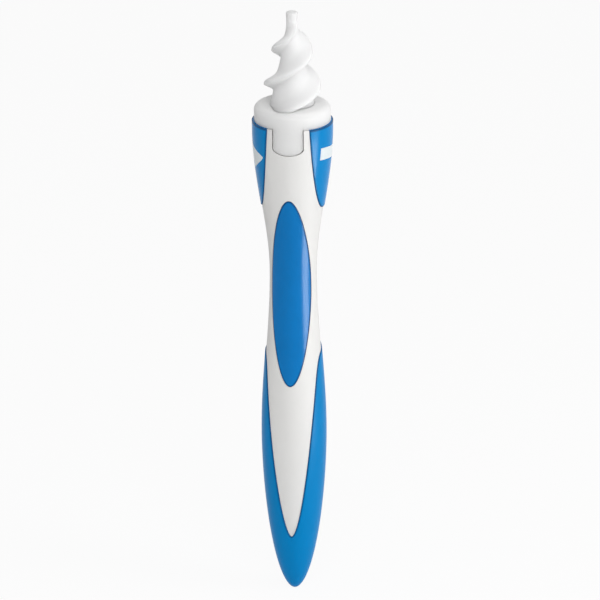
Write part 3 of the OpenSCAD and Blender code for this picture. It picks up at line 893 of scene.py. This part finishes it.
def outward(azimuth, elevation):
    """A unit vector from the object, by azimuth from the front towards +X and elevation."""
    a, e = math.radians(azimuth), math.radians(elevation)
    return Vector((math.sin(a) * math.cos(e), -math.cos(a) * math.cos(e), math.sin(e)))


def seen_directly(bench):
    """1 for rays from the camera, or from it by way of gloss or glass, and 0 for the light."""
    path = bench.node("ShaderNodeLightPath", out="Is Camera Ray")
    return (path + bench.other(path, "Is Glossy Ray")
            + bench.other(path, "Is Transmission Ray")).at_most(1)


def softbox(name, azimuth, elevation, distance, width, height, radiance, aim):
    """A rectangular lamp that faces a point and gives off a plain radiance."""
    lamp = bpy.data.lights.new(name, "AREA")
    lamp.shape, lamp.size, lamp.size_y = "RECTANGLE", width, height
    lamp.energy = radiance * math.pi * width * height
    made = bpy.data.objects.new(name, lamp)
    bpy.context.scene.collection.objects.link(made)
    back = outward(azimuth, elevation)
    made.location = Vector(aim) + back * distance
    made.rotation_mode = "QUATERNION"
    made.rotation_quaternion = back.to_track_quat("Z", "Y")
    made.visible_camera = False
    return made


def floor():
    """A pale floor that shows white and keeps the object's shadow."""
    half = 4.0
    mesh = bpy.data.meshes.new("studio_floor")
    corners = [(-half, -half), (half, -half), (half, half), (-half, half)]
    mesh.from_pydata([(x, y, solid_low.z) for x, y in corners], [], [(0, 1, 2, 3)])
    finish = bpy.data.materials.new("studio_floor")
    finish.use_nodes = True
    bench = Bench(finish.node_tree)
    card = bench.node("ShaderNodeBsdfDiffuse", None, {"Color": grey(0.9)})
    white = bench.node("ShaderNodeEmission", None, {"Color": grey(1), "Strength": 1.0})
    shown = bench.node("ShaderNodeMixShader", None, {
        0: seen_directly(bench) * 0.92, 1: card, 2: white})
    bench.node("ShaderNodeOutputMaterial", None, {"Surface": shown})
    mesh.materials.append(finish)
    made = piece("studio_floor", mesh)


def surroundings(ambient):
    """An even white room: full white where it is seen, and dimmer as a light."""
    world = bpy.data.worlds.new("studio_room")
    bpy.context.scene.world = world
    world.use_nodes = True
    bench = Bench(world.node_tree)
    room = bench.node("ShaderNodeBackground", None, {
        "Color": grey(1), "Strength": seen_directly(bench) * (1 - ambient) + ambient})
    bench.node("ShaderNodeOutputWorld", None, {"Surface": room})


CAMERA_AZIMUTH, CAMERA_ELEVATION = 7.2, 21.5
CAMERA_DISTANCE, CAMERA_LENS = 1.0, 220.1
CAMERA_ROLL = -0.27
CAMERA_ASIDE, CAMERA_UP = 1.79 * MM, 86.57 * MM    # the point it looks at, from the tail


def camera():
    """Looks down on the handle from the front, a little from its right."""
    back = outward(CAMERA_AZIMUTH, CAMERA_ELEVATION)
    turn = math.radians(CAMERA_AZIMUTH)
    right = Vector((math.cos(turn), math.sin(turn), 0))
    aim = right * CAMERA_ASIDE + Vector((0, 0, TAIL + CAMERA_UP))
    made = bpy.data.objects.new("camera", bpy.data.cameras.new("camera"))
    bpy.context.scene.collection.objects.link(made)
    made.data.lens, made.data.sensor_width = CAMERA_LENS, 36.0
    made.data.clip_start, made.data.clip_end = 0.01, 50.0
    made.location = aim + back * CAMERA_DISTANCE
    made.rotation_mode = "QUATERNION"
    made.rotation_quaternion = (Quaternion(back, math.radians(CAMERA_ROLL))
                                @ (-back).to_track_quat("-Z", "Y"))
    bpy.context.scene.camera = made


bpy.context.scene.view_settings.view_transform = "Standard"
softbox("key_strip", 79, 6, 0.36, 0.12, 0.62, 3.4, (0, 0, TAIL + 130 * MM))
# The strip for the long highlight on the collar and the pad: it acts on gloss alone
sheen = softbox("sheen_strip", 66, 0, 0.13, 0.07, 0.13, 22.0, (0, 0, TAIL + 25 * MM))
sheen.visible_diffuse = False
softbox("front_box", 12, 42, 1.3, 0.9, 0.9, 2.6, (0, 0, 0))
surroundings(0.4)
floor()
camera()
